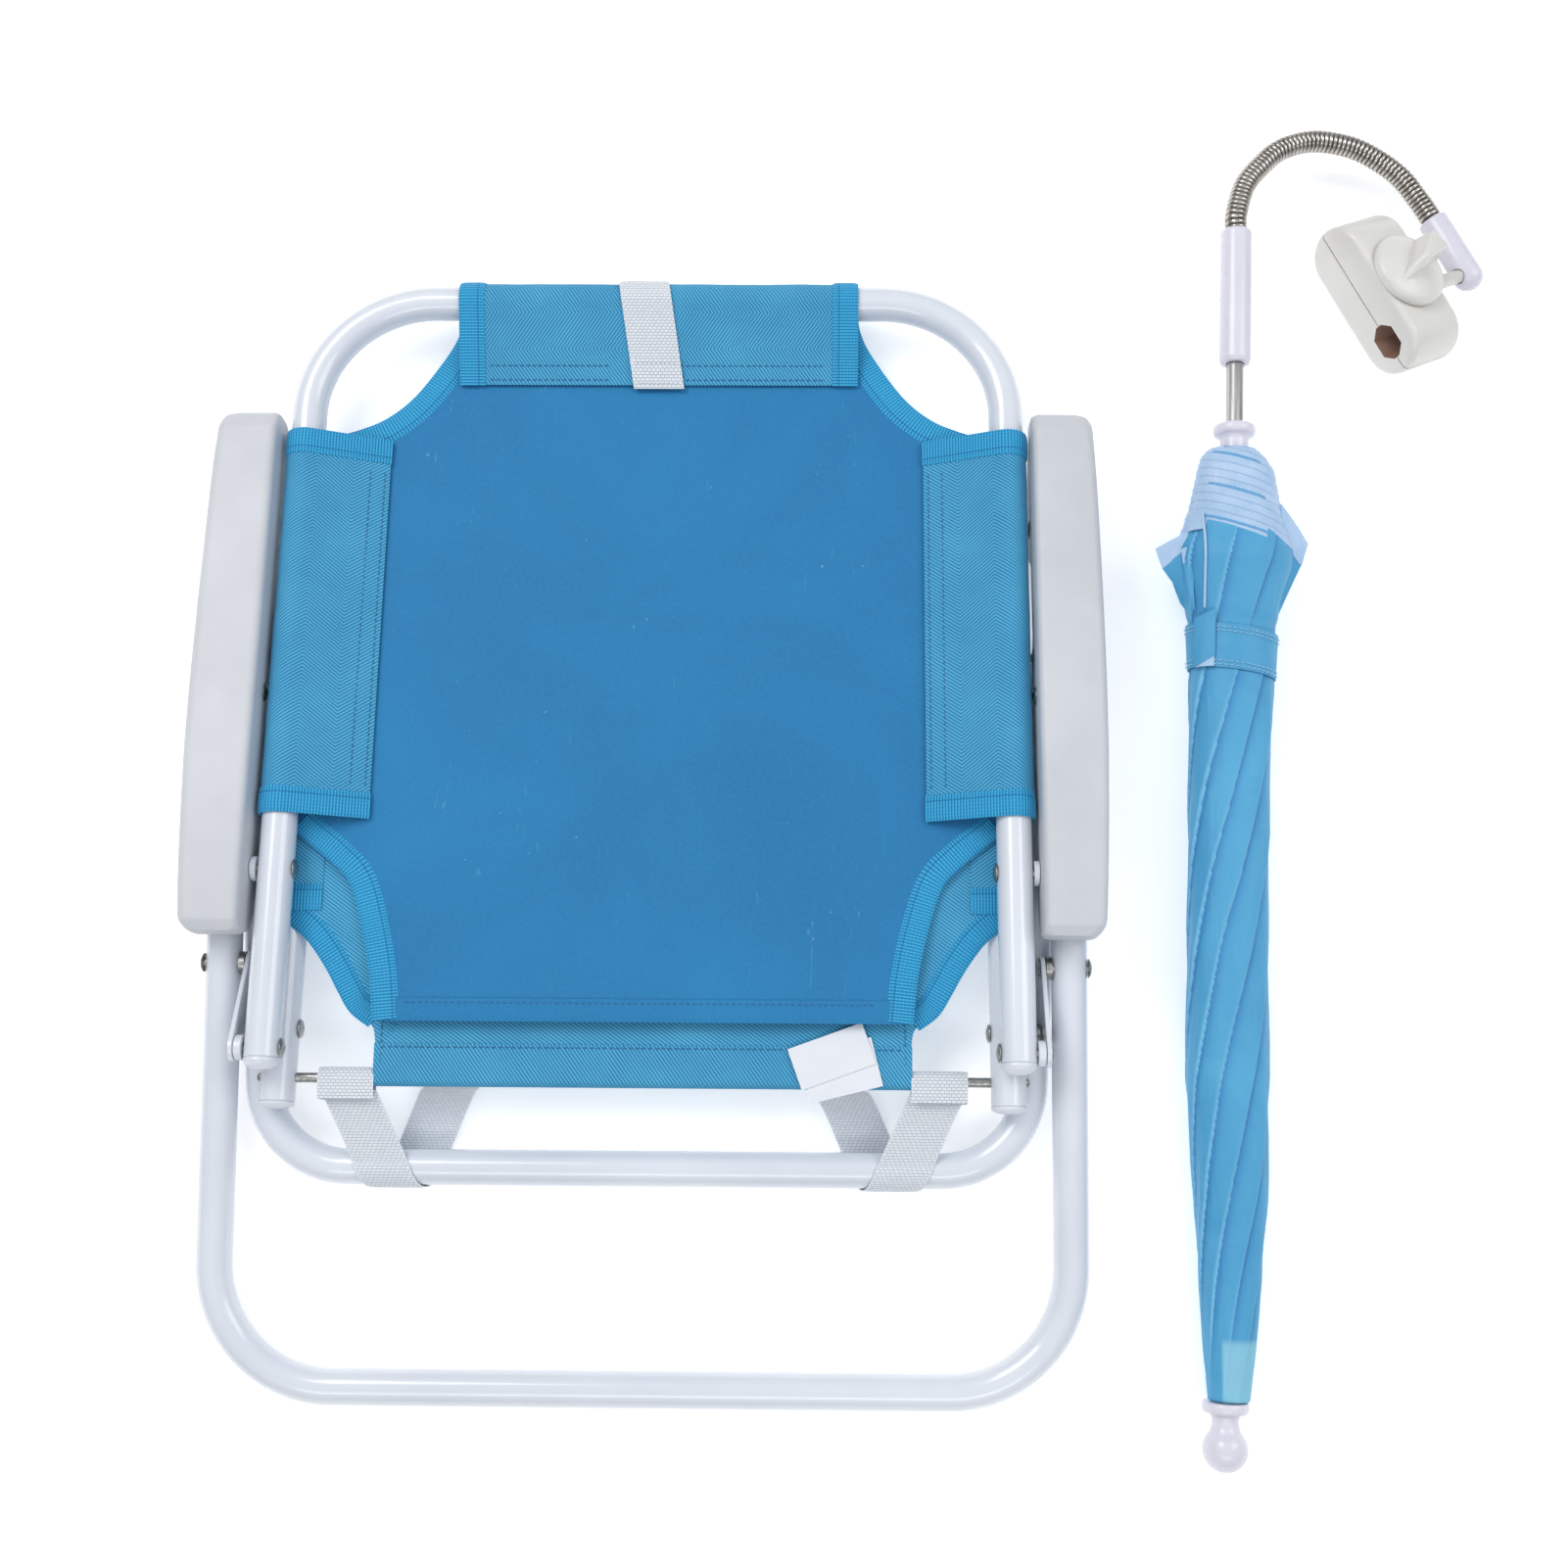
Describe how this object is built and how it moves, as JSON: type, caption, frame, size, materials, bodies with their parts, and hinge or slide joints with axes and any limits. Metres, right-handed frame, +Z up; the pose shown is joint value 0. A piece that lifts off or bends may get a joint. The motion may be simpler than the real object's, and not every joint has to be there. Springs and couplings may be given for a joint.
{
  "type": "folding beach chair with umbrella",
  "caption": "Folding low beach chair with tube frame, cloth seat and back, armrests, and a furled clamp-on umbrella on a gooseneck.",
  "frame": {"origin": "on the floor under the middle of the folded chair, at the floor rest mount", "axes": "+X to the viewer's right across the chair, +Y from the ground bars towards the top of the backrest, +Z up off the floor"},
  "size_m": [0.6052, 0.6267, 0.058],
  "materials": {
    "white_painted_steel": "gloss powder coat",
    "white_armrest_plastic": "fine matte",
    "white_plastic_fittings": "satin",
    "warm_white_clamp_plastic": "satin",
    "blue_back_fabric": "polyester twill",
    "blue_seat_fabric": "polyester oxford",
    "sky_blue_canopy_fabric": "thin polyester, slight sheen",
    "white_webbing": "woven",
    "white_satin_label": "satin",
    "spiral_steel_hose": "bright nickel",
    "zinc_plated_steel": "zinc",
    "polished_steel_shaft": "bright"
  },
  "bodies": {
    "umbrella": {"umbrella_shaft": "polished_steel_shaft", "umbrella_canopy": "sky_blue_canopy_fabric", "umbrella_runner": "white_plastic_fittings", "umbrella_ribs": "polished_steel_shaft", "umbrella_ferrule": "white_plastic_fittings", "umbrella_tie_strap": "sky_blue_canopy_fabric", "shaft_sleeve": "white_plastic_fittings", "gooseneck_1": "spiral_steel_hose"},
    "gooseneck_2": {"gooseneck_2": "spiral_steel_hose"},
    "gooseneck_3": {"gooseneck_3": "spiral_steel_hose"},
    "gooseneck_end": {"gooseneck_4": "spiral_steel_hose", "clamp_elbow": "white_plastic_fittings"},
    "clamp_jaw": {"clamp_front_jaw": "warm_white_clamp_plastic"},
    "clamp_knob": {"clamp_knob": "warm_white_clamp_plastic", "clamp_screw": "zinc_plated_steel"},
    "clamp_back": {"clamp_back_jaw": "warm_white_clamp_plastic", "clamp_nut": "zinc_plated_steel"},
    "rear_legs": {"rear_leg_frame": "white_painted_steel", "plate_leg_rivet_left": "zinc_plated_steel", "plate_leg_rivet_right": "zinc_plated_steel"},
    "armrests": {"armrest_left": "white_armrest_plastic", "armrest_right": "white_armrest_plastic", "rear_leg_rivet_left": "zinc_plated_steel", "rear_leg_rivet_right": "zinc_plated_steel", "front_leg_rivet_left": "zinc_plated_steel", "front_leg_rivet_right": "zinc_plated_steel"},
    "backrest": {"back_frame": "white_painted_steel", "back_frame_cap_left": "white_plastic_fittings", "back_frame_cap_right": "white_plastic_fittings", "back_fabric": "blue_back_fabric", "back_webbing_tab": "white_webbing", "back_pivot_rivet_left": "zinc_plated_steel", "back_pivot_rivet_right": "zinc_plated_steel", "back_pivot_bushing_left": "white_plastic_fittings", "back_pivot_bushing_right": "white_plastic_fittings", "plate_back_rivet_left": "zinc_plated_steel", "plate_back_rivet_right": "zinc_plated_steel", "plate_back_bushing_left": "white_plastic_fittings", "plate_back_bushing_right": "white_plastic_fittings"},
    "hinge_plates": {"hinge_plate_left": "white_painted_steel", "hinge_plate_right": "white_painted_steel", "plate_leg_rivet_head_left": "zinc_plated_steel", "plate_leg_rivet_head_right": "zinc_plated_steel", "plate_seat_rivet_head_left": "zinc_plated_steel", "plate_seat_rivet_head_right": "zinc_plated_steel"},
    "front_legs": {"front_leg_frame": "white_painted_steel"},
    "seat": {"seat_frame": "white_painted_steel", "seat_frame_cap_left": "white_plastic_fittings", "seat_frame_cap_right": "white_plastic_fittings", "seat_cross_rod": "zinc_plated_steel", "seat_fabric": "blue_seat_fabric", "blank_label": "white_satin_label", "retaining_strap_left": "white_webbing", "retaining_strap_right": "white_webbing", "plate_seat_rivet_left": "zinc_plated_steel", "plate_seat_rivet_right": "zinc_plated_steel", "seat_leg_rivet_left": "zinc_plated_steel", "seat_leg_rivet_right": "zinc_plated_steel"}
  },
  "joints": [
    {"name": "frame_unfold", "type": "hinge", "parent": "umbrella", "child": "rear_legs", "pos_m": [0, -0.2758, 0.008], "axis": [1, 0, 0], "range_deg": [0, 66.5]},
    {"name": "armrest_to_rear_legs", "type": "hinge", "parent": "rear_legs", "child": "armrests", "pos_m": [0, 0.032, 0.036], "axis": [1, 0, 0], "range_deg": [-60.1, 0]},
    {"name": "backrest_to_armrest", "type": "hinge", "parent": "armrests", "child": "backrest", "pos_m": [0, -0.0495, 0.0396], "axis": [1, 0, 0], "range_deg": [0, 96.7]},
    {"name": "hinge_plate_to_backrest", "type": "hinge", "parent": "backrest", "child": "hinge_plates", "pos_m": [0, -0.129, 0.0446], "axis": [1, 0, 0], "range_deg": [-126.8, 0]},
    {"name": "front_legs_to_armrest", "type": "hinge", "parent": "armrests", "child": "front_legs", "pos_m": [0, 0.116, 0.02], "axis": [1, 0, 0], "range_deg": [0, 96.2]},
    {"name": "seat_to_front_legs", "type": "hinge", "parent": "front_legs", "child": "seat", "pos_m": [0, 0.055, 0.0157], "axis": [1, 0, 0], "range_deg": [-86.1, 0], "deforming": ["retaining_strap_left", "retaining_strap_right"]},
    {"name": "gooseneck_bend_1", "type": "hinge", "parent": "umbrella", "child": "gooseneck_2", "pos_m": [0.2881, 0.29595, 0.02589], "axis": [0.1594, 0.0233, 0.9869], "range_deg": [-5, 20]},
    {"name": "gooseneck_bend_2", "type": "hinge", "parent": "gooseneck_2", "child": "gooseneck_3", "pos_m": [0.31806, 0.31366, 0.02121], "axis": [0.1594, 0.0233, 0.9869], "range_deg": [-5, 20]},
    {"name": "gooseneck_bend_3", "type": "hinge", "parent": "gooseneck_3", "child": "gooseneck_end", "pos_m": [0.35206, 0.30451, 0.01658], "axis": [0.1594, 0.0233, 0.9869], "range_deg": [-5, 20]},
    {"name": "clamp_swivel", "type": "hinge", "parent": "gooseneck_end", "child": "clamp_jaw", "pos_m": [0.39087, 0.24877, 0.0128], "axis": [0.7994, 0.427, -0.4226], "range_deg": [-30, 30]},
    {"name": "knob_turn", "type": "hinge", "parent": "clamp_jaw", "child": "clamp_knob", "pos_m": [0.3483, 0.2351, 0.0214], "axis": [0.3728, 0.1991, 0.9063], "range_deg": [0, 1260]},
    {"name": "back_jaw_slide", "type": "slide", "parent": "clamp_jaw", "child": "clamp_back", "axis": [-0.3728, -0.1991, -0.9063], "range_m": [0, 0.0035]}
  ],
  "couplings": [
    {"joint": "armrest_to_rear_legs", "follows": "frame_unfold", "ratio": -0.90223},
    {"joint": "backrest_to_armrest", "follows": "frame_unfold", "ratio": 1.4512},
    {"joint": "hinge_plate_to_backrest", "follows": "frame_unfold", "ratio": -1.9021},
    {"joint": "front_legs_to_armrest", "follows": "frame_unfold", "ratio": 1.4427},
    {"joint": "seat_to_front_legs", "follows": "frame_unfold", "ratio": -1.2917},
    {"joint": "knob_turn", "follows": "back_jaw_slide", "rad_per_m": 6283.1}
  ]
}
